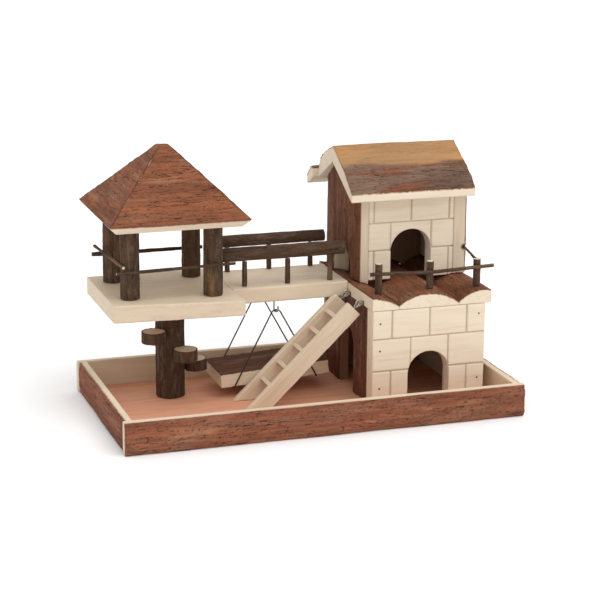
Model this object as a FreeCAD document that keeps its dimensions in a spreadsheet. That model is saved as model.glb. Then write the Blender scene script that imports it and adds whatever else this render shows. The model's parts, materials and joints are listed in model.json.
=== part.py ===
import FreeCAD, Part
import Sketcher
import math
import os

os.makedirs("parts", exist_ok=True)
doc = FreeCAD.newDocument("hamster_house")
V = FreeCAD.Vector

# Driving dimensions in millimetres: X along the tray, Y to the back, Z up, origin under the tray's middle
dimensions = {
    "tray_length": 450, "tray_depth": 240, "tray_height": 36, "tray_board": 11,
    "tray_bulge": 1.5, "tray_bulge_radius": 110, "base_thick": 6,
    "nail_radius": 1.1, "nail_inset": 5.5, "nail_low": 9, "nail_pitch": 9.5, "nail_length": 24,
    "nail_sunk": 0.8, "wall_nail_length": 32, "wall_nail_in_left": 8.5, "wall_nail_in_right": 8,
    "overshoot": 1,
    "trunk_across": -132, "trunk_back": 52, "trunk_radius": 17,
    "trunk_short": 10,
    "disc_radius": 14.2, "disc_thick": 14, "disc_top_upper": 88, "disc_step": 20.5,
    "disc_upper_across": -23.2, "disc_upper_back": -18.9,
    "disc_middle_across": 10.4, "disc_middle_back": -28,
    "disc_lower_across": 29.2, "disc_lower_back": 2,
    "floor_top": 132.2, "platform_left": -210, "platform_right": -69.5,
    "platform_front_left": -13, "platform_front_right": -34, "platform_back": 120,
    "platform_thick_left": 20, "platform_thick_right": 16.4, "platform_blank": 24,
    "platform_side_start": -60, "platform_side_run": 200,
    "post_radius": 11.3, "post_top": 228, "post_left": -186, "post_right": -95.5,
    "post_front_left": 11.4, "post_front_right": 3, "post_back": 90,
    "twig_radius": 2.4, "side_twig_radius": 2,
    "roof_across": -137.4, "roof_back": 52, "roof_half": 78.6, "roof_eave": 219.6,
    "roof_flat": 6, "roof_thick": 13, "wedge_down": 20, "wedge_tall": 110,
    "deck_right": 65.7, "deck_front": 16, "deck_back": 102, "deck_thick": 17.3,
    "bridge_post_radius": 3.4, "bridge_post_first": -52.5, "bridge_post_pitch": 50,
    "bridge_front": 27, "bridge_back": 96, "bridge_rail_radius_front": 8.6,
    "bridge_rail_radius_back": 7.5, "bridge_rail_up_front": 37, "bridge_rail_up_back": 35.6,
    "bridge_rail_left_front": -80, "bridge_rail_left_back": -67, "bridge_rail_gap": 1.5,
    "swing_across": -18.5, "swing_up": 102.7, "swing_front": 19, "swing_back": 87,
    "swing_length": 127, "swing_thick": 16.3, "swing_middle_up": 30, "swing_tilt": 3.2,
    "swing_gap": 1, "wire_radius": 0.8, "wire_bend": 6, "wire_seat": 2.05,
    "wire_foot_across": 48.5, "wire_foot_run": 8,
    "hook_radius": 2.9, "hook_wire": 1, "hook_turn": 35, "hook_tip_rise": 3.5, "hook_bite": 8,
    "eye_radius": 3.3, "eye_wire": 0.8, "eye_neck": 1.5, "eye_bite": 7,
    "ladder_pivot_across": 60.5, "ladder_pivot_up": 119.5, "ladder_angle": 43.9,
    "stile_width": 19, "stile_thick": 7.5, "stile_back": 14, "stile_front": -36,
    "rung_thick": 5, "rung_depth": 12, "rung_first": 31, "rung_pitch": 26,
    "wall_left": 66.6, "wall_right": 199.4, "wall_front": -62, "wall_board": 18,
    "wall_slab": 13, "wall_slab_bulge": 2, "wall_slab_radius": 1250, "wall_back": 108.5,
    "wall_back_board": 12, "wall_top": 116.3,
    "door_width": 48.4, "door_middle": 133, "door_top": 66.4,
    "side_door_width": 46, "side_door_middle": 26, "side_door_top": 81,
    "slab_left": 65.7, "slab_join_left": 96.6, "slab_join_right": 167.2, "slab_right": 206.5,
    "slab_back": 118, "slab_top": 132.2, "slab_valley": 122.5, "slab_valley_right": 121.5,
    "slab_crown": 134, "slab_radius_left": 62, "slab_radius_middle": 59.5,
    "slab_radius_right": 42, "slab_end": 132,
    "upper_left": 75.7, "upper_right": 206, "upper_inner_left": 87.7, "upper_inner_right": 189.9,
    "upper_front": 11.2, "upper_back": 120, "upper_base": 121, "upper_radius_left": 170,
    "upper_radius_right": 500, "upper_setback": 1, "upper_wall_base": 131.6,
    "upper_door_middle": 138.7, "upper_door_top": 188, "bridge_door_middle": 52,
    "bridge_door_top": 168,
    "house_roof_left": 61.4, "house_roof_right": 209.3, "ridge_back": 62, "ridge_top": 279,
    "ridge_under": 259.5, "roof_fall": 0.54, "eave_front": -3, "eave_face": 11.5,
    "front_break_run": 40, "front_break_drop": 22.5, "eave_round_run": 8, "eave_round_rise": 6.5,
    "plank_join": 112, "plank_back": 131, "plank_left": 55, "plank_right": 205,
    "join_face": 13, "plank_lap": 1, "back_break_run": 42, "back_break_drop": 21.5,
    "back_shoulder_run": 28, "back_shoulder_drop": 11, "roof_back_short": 3,
    "plank_face": 11, "plank_round_run": 4, "plank_round_rise": 17,
    "plank_top_run": 7, "plank_top_rise": 13.5,
    "gable_lead": 12, "gable_run": 26, "bridge_door_lead": 14, "bridge_door_run": 28,
    "balcony_post_radius": 4.5, "balcony_post_top": 164, "balcony_post_left": 81,
    "balcony_post_middle": 140, "balcony_post_right": 194, "balcony_front": -38,
    "balcony_front_middle": -42, "balcony_front_right": -47, "balcony_rail_radius": 2.5,
    "balcony_rail_bend": 200,
}

# Nail heights in the lower front wall, and the ends of the thin twigs as (across, back, up)
nail_heights = {"left": (28, 71, 102), "right": (31, 105)}
twig_ends = {
    "tower_front": ((-204, -0.9, 163.7), (-74.5, -13.1, 169.6)),
    "tower_left": ((-203.5, 106, 170.6), (-195.8, -1.2, 170)),
    "tower_back": ((-208, 103.6, 161.6), (-79.5, 103.6, 161.6)),
    "balcony_side": ((194.5, -44, 161.6), (205.6, 22, 163.6)),
}
balcony_twig_points = [(68.4, -43.2, 153.6), (140, -48.1, 152.4), (211.5, -53.8, 156.7)]

sheet = doc.addObject("Spreadsheet::Sheet", "Dims")
for row, (alias, number) in enumerate(dimensions.items(), start=1):
    sheet.set("A%d" % row, alias)
    sheet.set("B%d" % row, str(number))
    sheet.setAlias("B%d" % row, alias)
doc.recompute()


class Size:
    """A length that knows both its sheet expression and its present value."""

    def __init__(self, text, value):
        self.text = text
        self.value = value

    def __add__(self, other):
        other = as_size(other)
        return Size("(%s + %s)" % (self.text, other.text), self.value + other.value)

    def __sub__(self, other):
        other = as_size(other)
        return Size("(%s - %s)" % (self.text, other.text), self.value - other.value)

    def __mul__(self, other):
        other = as_size(other)
        return Size("(%s * %s)" % (self.text, other.text), self.value * other.value)

    def __truediv__(self, other):
        other = as_size(other)
        return Size("(%s / %s)" % (self.text, other.text), self.value / other.value)

    def __neg__(self):
        return Size("(0 - %s)" % self.text, -self.value)

    def __radd__(self, other):
        return as_size(other) + self

    def __rsub__(self, other):
        return as_size(other) - self

    def __rmul__(self, other):
        return as_size(other) * self


def as_size(item):
    if isinstance(item, Size):
        return item
    return Size("(%s)" % repr(float(item)), float(item))


def dim(alias):
    return Size("Dims.%s" % alias, float(sheet.get(alias)))


class Sizes:
    """Gives the sheet's sizes as attributes."""

    def __getattr__(self, alias):
        return dim(alias)


D = Sizes()
finished = []


def bind(item, settings):
    for field, size in settings.items():
        item.setExpression(field, as_size(size).text)


def move_to(item, across, back, up):
    bind(item, {
        "Placement.Base.x": across,
        "Placement.Base.y": back,
        "Placement.Base.z": up,
    })


def finish(item, label):
    item.Label = label
    finished.append(item)
    return item


def box(name, across, back, up):
    item = doc.addObject("Part::Box", name)
    bind(item, {
        "Length": as_size(across[1]) - across[0],
        "Width": as_size(back[1]) - back[0],
        "Height": as_size(up[1]) - up[0],
    })
    move_to(item, across[0], back[0], up[0])
    return item


def rod(name, start, direction, length, radius):
    item = doc.addObject("Part::Cylinder", name)
    item.Placement.Rotation = FreeCAD.Rotation(V(0, 0, 1), V(*direction))
    bind(item, {"Radius": radius, "Height": length})
    move_to(item, *start)
    return item


def cut(name, base, *tools):
    tool = tools[0] if len(tools) == 1 else gather(name + "_tools", tools)
    item = doc.addObject("Part::Cut", name)
    item.Base = base
    item.Tool = tool
    return item


def common(name, base, tool):
    item = doc.addObject("Part::Common", name)
    item.Base = base
    item.Tool = tool
    return item


def fuse(name, items):
    item = doc.addObject("Part::MultiFuse", name)
    item.Shapes = list(items)
    return item


def gather(name, items):
    item = doc.addObject("Part::Compound", name)
    item.Links = list(items)
    return item


def origin_plane(body, role):
    for feature in body.Origin.OriginFeatures:
        if feature.Role == role:
            return feature
    raise ValueError(role)


def arc_between(start, end, radius, side):
    """A shallow arc bulging to the left (side 1) or right (side -1) of the way from start to end."""
    chord = end - start
    half = chord.Length / 2
    normal = V(-chord.y, chord.x, 0).normalize() * side
    depth = math.sqrt(radius * radius - half * half)
    centre = (start + end) / 2 - normal * depth
    first, last = (end, start) if side > 0 else (start, end)
    from_angle = math.atan2(first.y - centre.y, first.x - centre.x)
    to_angle = math.atan2(last.y - centre.y, last.x - centre.x)
    if to_angle < from_angle:
        to_angle += 2 * math.pi
    return Part.ArcOfCircle(Part.Circle(centre, V(0, 0, 1), radius), from_angle, to_angle)


def profile_solid(name, role, outline, start, length):
    """Pads a closed outline; each corner is (a, b) or (a, b, radius, side) for an arc to the next."""
    body = doc.addObject("PartDesign::Body", name)
    sketch = body.newObject("Sketcher::SketchObject", name + "_sketch")
    sketch.AttachmentSupport = [(origin_plane(body, role), "")]
    sketch.MapMode = "FlatFace"
    corners = [V(as_size(corner[0]).value, as_size(corner[1]).value, 0) for corner in outline]
    count = len(outline)
    for index, corner in enumerate(outline):
        first = corners[index]
        last = corners[(index + 1) % count]
        if len(corner) == 2:
            sketch.addGeometry(Part.LineSegment(first, last), False)
        else:
            arc = arc_between(first, last, as_size(corner[2]).value, corner[3])
            sketch.addGeometry(arc, False)
    ends = []
    for index in range(count):
        geometry = sketch.Geometry[index]
        is_first = geometry.StartPoint.distanceToPoint(corners[index]) < 1e-4
        ends.append((1, 2) if is_first else (2, 1))
    for index in range(count):
        after = (index + 1) % count
        sketch.addConstraint(
            Sketcher.Constraint("Coincident", index, ends[index][1], after, ends[after][0]))
    for index, corner in enumerate(outline):
        for kind, size in (("DistanceX", corner[0]), ("DistanceY", corner[1])):
            size = as_size(size)
            number = sketch.addConstraint(
                Sketcher.Constraint(kind, -1, 1, index, ends[index][0], size.value))
            sketch.setExpression("Constraints[%d]" % number, size.text)
        if len(corner) > 2:
            size = as_size(corner[2])
            number = sketch.addConstraint(Sketcher.Constraint("Radius", index, size.value))
            sketch.setExpression("Constraints[%d]" % number, size.text)
    pad = body.newObject("PartDesign::Pad", name + "_pad")
    pad.Profile = sketch
    pad.Reversed = role == "XZ_Plane"
    bind(pad, {"Length": length})
    body.Tip = pad
    shift = {"XY_Plane": (0, 0, start), "XZ_Plane": (0, start, 0), "YZ_Plane": (start, 0, 0)}[role]
    move_to(body, *shift)
    return body


def bent_rod(name, points, radius, bend):
    """A round rod along straight runs joined by tangent arcs."""
    spots = [V(*[as_size(number).value for number in point]) for point in points]
    edges = []
    here = spots[0]
    for index in range(1, len(spots) - 1):
        before = (spots[index - 1] - spots[index]).normalize()
        after = (spots[index + 1] - spots[index]).normalize()
        half = before.getAngle(after) / 2
        reach = bend[index - 1] / math.tan(half)
        entry = spots[index] + before * reach
        leave = spots[index] + after * reach
        centre = spots[index] + (before + after).normalize() * (bend[index - 1] / math.sin(half))
        crest = centre + (spots[index] - centre).normalize() * bend[index - 1]
        edges.append(Part.LineSegment(here, entry).toShape())
        edges.append(Part.Arc(entry, crest, leave).toShape())
        here = leave
    edges.append(Part.LineSegment(here, spots[-1]).toShape())
    path = Part.Wire(edges)
    run = (spots[1] - spots[0]).normalize()
    ring = Part.Wire([Part.makeCircle(as_size(radius).value, spots[0], run)])
    item = doc.addObject("Part::Feature", name)
    item.Shape = path.makePipeShell([ring], True, False)
    return item


def straight_twig(name, start, end, radius_start, radius_end):
    """A tapered straight twig between two points."""
    first = V(*[as_size(number).value for number in start])
    last = V(*[as_size(number).value for number in end])
    run = last - first
    item = doc.addObject("Part::Feature", name)
    item.Shape = Part.makeCone(
        as_size(radius_start).value, as_size(radius_end).value, run.Length, first, run)
    return item


# Nails: tray corners and lower front wall
half_length = D.tray_length / 2
half_depth = D.tray_depth / 2
tray_nails = {"front": [], "back": []}
for side, sign in (("left", -1), ("right", 1)):
    for place, direction in (("front", 1), ("back", -1)):
        for step in range(3):
            start = (
                (half_length - D.nail_inset) * sign,
                (half_depth - D.nail_sunk) * -direction,
                D.nail_low + D.nail_pitch * step,
            )
            name = "tray_nail_%s_%s_%d" % (place, side, step)
            nail = rod(name, start, (0, direction, 0), D.nail_length, D.nail_radius)
            tray_nails[place].append(nail)

wall_nails = {"left": [], "right": []}
nail_places = {
    "left": D.wall_left + D.wall_nail_in_left,
    "right": D.wall_right - D.wall_nail_in_right,
}
for side, across in nail_places.items():
    for step, up in enumerate(nail_heights[side]):
        start = (across, D.wall_front, as_size(up))
        name = "wall_nail_%s_%d" % (side, step)
        nail = rod(name, start, (0, 1, 0), D.wall_nail_length, D.nail_radius)
        wall_nails[side].append(nail)

every_nail = tray_nails["front"] + tray_nails["back"] + wall_nails["left"] + wall_nails["right"]
finish(gather("nails", every_nail), "nails")

# Tray: base plate inside four bark-faced boards, the ends butted between front and back
finish(box(
    "base_plate",
    (D.tray_board - half_length, half_length - D.tray_board),
    (D.tray_board - half_depth, half_depth - D.tray_board),
    (as_size(0), D.base_thick),
), "base_plate")

for place, sign in (("front", -1), ("back", 1)):
    outer = (half_depth - D.tray_bulge) * sign
    inner = (half_depth - D.tray_board) * sign
    outline = [
        (outer, as_size(0), D.tray_bulge_radius, sign * -1),
        (outer, D.tray_height),
        (inner, D.tray_height),
        (inner, as_size(0)),
    ]
    blank = profile_solid(
        "tray_%s_blank" % place, "YZ_Plane", outline, -half_length, D.tray_length)
    finish(cut("tray_%s_board" % place, blank, *tray_nails[place]), "tray_%s_board" % place)

for place, sign in (("left", -1), ("right", 1)):
    outer = (half_length - D.tray_bulge) * sign
    inner = (half_length - D.tray_board) * sign
    outline = [
        (outer, as_size(0), D.tray_bulge_radius, sign * -1),
        (outer, D.tray_height),
        (inner, D.tray_height),
        (inner, as_size(0)),
    ]
    blank = profile_solid(
        "tray_%s_blank" % place, "XZ_Plane", outline,
        D.tray_board - half_depth, D.tray_depth - D.tray_board * 2)
    nails = tray_nails["front"] + tray_nails["back"]
    finish(cut("tray_%s_board" % place, blank, *nails), "tray_%s_board" % place)

# Tower platform: a wedge of pale board with a slanted front edge
plan = profile_solid("platform_plan", "XY_Plane", [
    (D.platform_left, D.platform_front_left),
    (D.platform_right, D.platform_front_right),
    (D.platform_right, D.platform_back),
    (D.platform_left, D.platform_back),
], D.floor_top - D.platform_blank, D.platform_blank)
side = profile_solid("platform_side", "XZ_Plane", [
    (D.platform_left - D.overshoot, D.floor_top - D.platform_thick_left),
    (D.platform_right + D.overshoot, D.floor_top - D.platform_thick_right),
    (D.platform_right + D.overshoot, D.floor_top),
    (D.platform_left - D.overshoot, D.floor_top),
], D.platform_side_start, D.platform_side_run)
platform = finish(common("tower_platform", plan, side), "tower_platform")

# Trunk and its three step discs
disc_names = ("upper", "middle", "lower")
disc_centres = {}
for order, which in enumerate(disc_names):
    disc_centres[which] = (
        D.trunk_across + dim("disc_%s_across" % which),
        D.trunk_back + dim("disc_%s_back" % which),
        D.disc_top_upper - D.disc_step * order - D.disc_thick,
    )

trunk_blank = rod(
    "trunk_blank", (D.trunk_across, D.trunk_back, D.base_thick), (0, 0, 1),
    D.floor_top - D.base_thick - D.trunk_short, D.trunk_radius)
finish(cut("tower_trunk", trunk_blank, platform), "tower_trunk")
for which in disc_names:
    blank = rod(
        "disc_blank_" + which, disc_centres[which], (0, 0, 1), D.disc_thick, D.disc_radius)
    label = "step_disc_" + which
    finish(cut(label, blank, trunk_blank), label)

# Hip roof of the tower: one mitred panel turned about the middle four times
slope_in = D.roof_thick * math.sqrt(0.5)
under_drop = D.roof_thick * math.sqrt(2)
roof_rise = D.roof_half - D.roof_flat
panels = {}
for which, angle in (("front", 0), ("right", 90), ("back", 180), ("left", 270)):
    strip = profile_solid("hip_strip_" + which, "YZ_Plane", [
        (-D.roof_half, as_size(0)),
        (-D.roof_flat, roof_rise),
        (as_size(0), roof_rise),
        (as_size(0), D.roof_half - under_drop),
        (slope_in - D.roof_half, -slope_in),
    ], -D.roof_half, D.roof_half * 2)
    wedge = profile_solid("hip_wedge_" + which, "XY_Plane", [
        (-D.roof_half, -D.roof_half),
        (D.roof_half, -D.roof_half),
        (as_size(0), as_size(0)),
    ], -D.wedge_down, D.wedge_tall)
    panel = common("roof_panel_" + which, strip, wedge)
    panel.Placement.Rotation = FreeCAD.Rotation(V(0, 0, 1), angle)
    move_to(panel, D.roof_across, D.roof_back, D.roof_eave)
    panels[which] = finish(panel, "tower_roof_" + which)

# Tower rails: thin twigs nailed along the outside of the posts
twig_front = straight_twig(
    "twig_front", *twig_ends["tower_front"], D.twig_radius, D.twig_radius * 0.9)
twig_left = straight_twig(
    "twig_left", *twig_ends["tower_left"], D.twig_radius * 0.9, D.twig_radius)
twig_back = straight_twig(
    "twig_back", *twig_ends["tower_back"], D.twig_radius * 1.2, D.twig_radius)

# Four posts between the platform and the roof panels, notched for the twigs
post_places = {
    "front_left": (D.post_left, D.post_front_left),
    "front_right": (D.post_right, D.post_front_right),
    "back_left": (D.post_left - 1, D.post_back),
    "back_right": (D.post_right - 1, D.post_back),
}
twigs = (twig_front, twig_left, twig_back)
for which, (across, back) in post_places.items():
    blank = rod(
        "post_blank_" + which, (across, back, D.floor_top), (0, 0, 1),
        D.post_top - D.floor_top, D.post_radius)
    label = "tower_post_" + which
    finish(cut(label, blank, *panels.values(), *twigs), label)
finish(cut("rail_left_cut", twig_left, twig_front, twig_back), "tower_rail_left")
finish(twig_front, "tower_rail_front")
finish(twig_back, "tower_rail_back")

# Bridge: deck, two branch rails and six twig posts
rails = {}
for which, back in (("front", D.bridge_front), ("back", D.bridge_back)):
    left = dim("bridge_rail_left_" + which)
    up = D.floor_top + dim("bridge_rail_up_" + which)
    radius = dim("bridge_rail_radius_" + which)
    rails[which] = rod(
        "bridge_rail_" + which, (left, back, up), (1, 0, 0),
        D.slab_left - left - D.bridge_rail_gap, radius)
    finish(rails[which], "bridge_rail_" + which)
    blanks = []
    for step in range(3):
        across = D.bridge_post_first + D.bridge_post_pitch * step
        blanks.append(rod(
            "bridge_post_%s_%d" % (which, step), (across, back, D.floor_top), (0, 0, 1),
            dim("bridge_rail_up_" + which), D.bridge_post_radius))
    label = "bridge_posts_" + which
    finish(cut(label, gather(label + "_blank", blanks), rails[which]), label)

# Swing: tilted board, two bent wires and the hooks that carry them
tilt = math.radians(D.swing_tilt.value)
board = doc.addObject("Part::Box", "swing_board")
board.Placement.Rotation = FreeCAD.Rotation(V(0, 1, 0), -D.swing_tilt.value)
bind(board, {
    "Length": D.swing_length,
    "Width": D.swing_back - D.swing_front - D.swing_gap * 2,
    "Height": D.swing_thick,
})
corner_across = D.swing_length / 2 * math.cos(tilt) - D.swing_thick / 2 * math.sin(tilt)
corner_up = D.swing_length / 2 * math.sin(tilt) + D.swing_thick / 2 * math.cos(tilt)
move_to(
    board, D.swing_across - corner_across, D.swing_front + D.swing_gap,
    D.swing_middle_up - corner_up)
finish(board, "swing_board")

for which, back, inward in (("front", D.swing_front, 1), ("back", D.swing_back, -1)):
    drop = (D.swing_thick / 2 + D.wire_radius) / math.cos(tilt)
    feet = []
    for sign in (-1, 1):
        across = D.swing_across + D.wire_foot_across * sign
        up = D.swing_middle_up - drop + D.wire_foot_across * sign * math.tan(tilt)
        feet.append((across, up))
    crest = D.swing_up + D.wire_seat - D.wire_bend
    height = (crest - D.swing_middle_up + drop).value
    reach = math.hypot(D.wire_foot_across.value, height)
    half_angle = math.atan2(D.wire_foot_across.value, height) - math.asin(D.wire_bend.value / reach)
    apex = crest + D.wire_bend / math.sin(half_angle)
    points = [
        (feet[0][0], back + D.wire_foot_run * inward, feet[0][1]),
        (feet[0][0], back, feet[0][1]),
        (D.swing_across, back, apex),
        (feet[1][0], back, feet[1][1]),
        (feet[1][0], back + D.wire_foot_run * inward, feet[1][1]),
    ]
    bends = [1.0, D.wire_bend.value, 1.0]
    finish(bent_rod("swing_wire_" + which, points, D.wire_radius, bends), "swing_wire_" + which)

hooks = []
hook_holes = []
deck_under = D.floor_top - D.deck_thick
turn = math.radians(D.hook_turn.value)
for which, back in (("front", D.swing_front), ("back", D.swing_back)):
    over = (D.hook_radius * math.sin(turn), D.hook_radius * math.cos(turn))
    shank = (D.swing_across - over[0], back + over[1])
    tip = (D.swing_across + over[0], back - over[1])
    points = [
        (shank[0], shank[1], deck_under + D.hook_bite),
        (shank[0], shank[1], D.swing_up),
        (tip[0], tip[1], D.swing_up),
        (tip[0], tip[1], D.swing_up + D.hook_radius + D.hook_tip_rise),
    ]
    bends = [D.hook_radius.value - 0.01, D.hook_radius.value - 0.01]
    hooks.append(bent_rod("swing_hook_" + which, points, D.hook_wire, bends))
    hook_holes.append(rod(
        "hook_hole_" + which, (shank[0], shank[1], deck_under), (0, 0, 1),
        D.hook_bite, D.hook_wire))
finish(gather("swing_hooks", hooks), "swing_hooks")

deck_blank = box(
    "deck_blank", (D.platform_right, D.deck_right), (D.deck_front, D.deck_back),
    (deck_under, D.floor_top))
finish(cut("bridge_deck", deck_blank, *hook_holes), "bridge_deck")

# Ladder: two stiles and five rungs hung on linked screw eyes
lean = math.radians(D.ladder_angle.value)
along = (math.cos(lean), math.sin(lean))
aside = (-math.sin(lean), math.cos(lean))
neck = D.eye_radius * 2 + D.eye_neck
half_width = D.stile_width / 2
pivot = (D.ladder_pivot_across, D.ladder_pivot_up)
end_upper = (
    pivot[0] - neck * along[0] + half_width * aside[0],
    pivot[1] - neck * along[1] + half_width * aside[1],
)
end_lower = (
    pivot[0] - neck * along[0] - half_width * aside[0],
    pivot[1] - neck * along[1] - half_width * aside[1],
)
foot_upper = end_upper[0] - (end_upper[1] - D.base_thick) * (along[0] / along[1])
foot_lower = end_lower[0] - (end_lower[1] - D.base_thick) * (along[0] / along[1])
stile_outline = [
    (foot_upper, D.base_thick),
    (foot_lower, D.base_thick),
    end_lower,
    end_upper,
]
stile_spans = {
    "front": (D.stile_front, D.stile_front + D.stile_thick),
    "back": (D.stile_back - D.stile_thick, D.stile_back),
}
ladder_eyes = []
house_eyes = []
house_eye_holes = []
quarter_turn = FreeCAD.Rotation(V(0, 0, 1), 90)
for which, (near, far) in stile_spans.items():
    middle = (near + far) / 2
    blank = profile_solid(
        "stile_blank_" + which, "XZ_Plane", stile_outline, near, D.stile_thick)
    ring_centre = (
        pivot[0] - D.eye_radius * along[0], middle, pivot[1] - D.eye_radius * along[1])
    ring = doc.addObject("Part::Torus", "ladder_ring_" + which)
    tipped = FreeCAD.Rotation(V(0, 0, 1), V(aside[0], 0, aside[1]))
    ring.Placement.Rotation = tipped.multiply(quarter_turn)
    bind(ring, {"Radius1": D.eye_radius, "Radius2": D.eye_wire})
    move_to(ring, *ring_centre)
    neck_start = (
        pivot[0] - D.eye_radius * 2 * along[0], middle, pivot[1] - D.eye_radius * 2 * along[1])
    shank = rod(
        "ladder_shank_" + which, neck_start, (-along[0], 0, -along[1]),
        D.eye_neck + D.eye_bite, D.eye_wire)
    ladder_eyes.append(fuse("ladder_eye_" + which, [ring, shank]))
    label = "ladder_stile_" + which
    finish(cut(label, blank, shank), label)

    ring = doc.addObject("Part::Torus", "house_ring_" + which)
    upright = FreeCAD.Rotation(V(0, 0, 1), V(0, 1, 0))
    ring.Placement.Rotation = upright.multiply(quarter_turn)
    bind(ring, {"Radius1": D.eye_radius, "Radius2": D.eye_wire})
    move_to(ring, pivot[0], middle, pivot[1])
    shank = rod(
        "house_shank_" + which, (pivot[0] + D.eye_radius, middle, pivot[1]), (1, 0, 0),
        D.slab_left - pivot[0] - D.eye_radius + D.eye_bite, D.eye_wire)
    house_eyes.append(fuse("house_eye_" + which, [ring, shank]))
    house_eye_holes.append(shank)
finish(gather("ladder_eyes", ladder_eyes), "ladder_eyes")
finish(gather("house_eyes", house_eyes), "house_eyes")

rung_from = stile_spans["front"][1]
rung_length = stile_spans["back"][0] - stile_spans["front"][1]
for step in range(5):
    reach = D.rung_first + D.rung_pitch * step
    rung = doc.addObject("Part::Box", "rung_%d" % (step + 1))
    rung.Placement.Rotation = FreeCAD.Rotation(V(0, 1, 0), -D.ladder_angle.value)
    bind(rung, {"Length": D.rung_thick, "Width": rung_length, "Height": D.rung_depth})
    move_to(
        rung,
        pivot[0] - reach * along[0] - D.rung_depth / 2 * aside[0],
        rung_from,
        pivot[1] - reach * along[1] - D.rung_depth / 2 * aside[1],
    )
    finish(rung, "ladder_rung_%d" % (step + 1))


# House, lower storey
def arched_opening(name, middle, width, top, foot, start, length, axis):
    """A round-headed doorway tool through a wall that faces along the given axis."""
    half = width / 2
    spring = top - half
    if axis == "Y":
        block = box(
            name + "_block", (middle - half, middle + half), (start, start + length),
            (foot, spring))
        head = rod(name + "_head", (middle, start, spring), (0, 1, 0), length, half)
    else:
        block = box(
            name + "_block", (start, start + length), (middle - half, middle + half),
            (foot, spring))
        head = rod(name + "_head", (start, middle, spring), (1, 0, 0), length, half)
    return fuse(name, [block, head])


side_front = D.wall_front + D.wall_board
side_back = D.wall_back - D.wall_back_board
front_door = arched_opening(
    "front_door", D.door_middle, D.door_width, D.door_top, D.base_thick,
    D.wall_front - D.overshoot, D.wall_board + D.overshoot * 2, "Y")
front_blank = box(
    "lower_front_blank", (D.wall_left, D.wall_right), (D.wall_front, side_front),
    (D.base_thick, D.wall_top))
finish(
    cut("lower_front_wall", front_blank, front_door, *wall_nails["left"], *wall_nails["right"]),
    "lower_front_wall")

side_door = arched_opening(
    "side_door", D.side_door_middle, D.side_door_width, D.side_door_top, D.base_thick,
    D.wall_left - D.overshoot, D.wall_slab + D.overshoot * 2, "X")
left_blank = profile_solid("lower_left_blank", "XY_Plane", [
    (D.wall_left + D.wall_slab_bulge, side_front),
    (D.wall_left + D.wall_slab, side_front),
    (D.wall_left + D.wall_slab, side_back),
    (D.wall_left + D.wall_slab_bulge, side_back, D.wall_slab_radius, -1),
], D.base_thick, D.wall_top - D.base_thick)
finish(
    cut("lower_left_wall", left_blank, side_door, *wall_nails["left"]), "lower_left_wall")
right_blank = profile_solid("lower_right_blank", "XY_Plane", [
    (D.wall_right - D.wall_slab, side_front),
    (D.wall_right - D.wall_slab_bulge, side_front, D.wall_slab_radius, -1),
    (D.wall_right - D.wall_slab_bulge, side_back),
    (D.wall_right - D.wall_slab, side_back),
], D.base_thick, D.wall_top - D.base_thick)
finish(cut("lower_right_wall", right_blank, *wall_nails["right"]), "lower_right_wall")
finish(box(
    "lower_back_wall",
    (D.wall_left + D.wall_slab_bulge, D.wall_right - D.wall_slab_bulge),
    (side_back, D.wall_back), (D.base_thick, D.wall_top),
), "lower_back_wall")

# Balcony floor: three half-round slabs side by side
slab_length = D.slab_back - D.wall_front
slab_left_blank = profile_solid("slab_left_blank", "XZ_Plane", [
    (D.slab_left, D.wall_top),
    (D.slab_join_left, D.wall_top),
    (D.slab_join_left, D.slab_valley, D.slab_radius_left, -1),
    (D.slab_left, D.slab_top),
], D.wall_front, slab_length)
slab_left = finish(
    cut("slab_left", slab_left_blank, *house_eye_holes), "balcony_slab_left")
slab_middle = finish(profile_solid("slab_middle", "XZ_Plane", [
    (D.slab_join_left, D.wall_top),
    (D.slab_join_right, D.wall_top),
    (D.slab_join_right, D.slab_valley_right, D.slab_radius_middle, -1),
    (D.slab_join_left, D.slab_valley),
], D.wall_front, slab_length), "balcony_slab_middle")
slab_right = finish(profile_solid("slab_right", "XZ_Plane", [
    (D.slab_join_right, D.wall_top),
    (D.slab_right, D.wall_top),
    (D.slab_right, D.slab_end, D.slab_radius_right, -1),
    (D.slab_join_right, D.slab_valley_right),
], D.wall_front, slab_length), "balcony_slab_right")
slabs = (slab_left, slab_middle, slab_right)

# House, upper storey: roof boards first, since the walls are cut to them
roof_length = D.house_roof_right - D.house_roof_left
eave_under = D.ridge_under - (D.ridge_back - D.eave_front) * D.roof_fall
roof_front = finish(profile_solid("roof_front", "YZ_Plane", [
    (D.ridge_back, D.ridge_under),
    (D.ridge_back, D.ridge_top),
    (D.ridge_back - D.front_break_run, D.ridge_top - D.front_break_drop),
    (D.eave_front + D.eave_round_run, eave_under + D.eave_face + D.eave_round_rise),
    (D.eave_front, eave_under + D.eave_face),
    (D.eave_front, eave_under),
], D.house_roof_left, roof_length), "roof_slab_front")
join_under = D.ridge_under - (D.plank_join - D.ridge_back) * D.roof_fall
back_under = D.ridge_under - (D.plank_back - D.ridge_back) * D.roof_fall
roof_back_upper = finish(profile_solid("roof_back_upper", "YZ_Plane", [
    (D.ridge_back, D.ridge_under),
    (D.plank_join, join_under),
    (D.plank_join - D.plank_lap, join_under + D.join_face),
    (D.ridge_back + D.back_break_run, D.ridge_top - D.back_break_drop),
    (D.ridge_back + D.back_shoulder_run, D.ridge_top - D.back_shoulder_drop),
    (D.ridge_back, D.ridge_top),
], D.house_roof_left, roof_length - D.roof_back_short), "roof_slab_back_upper")
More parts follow.
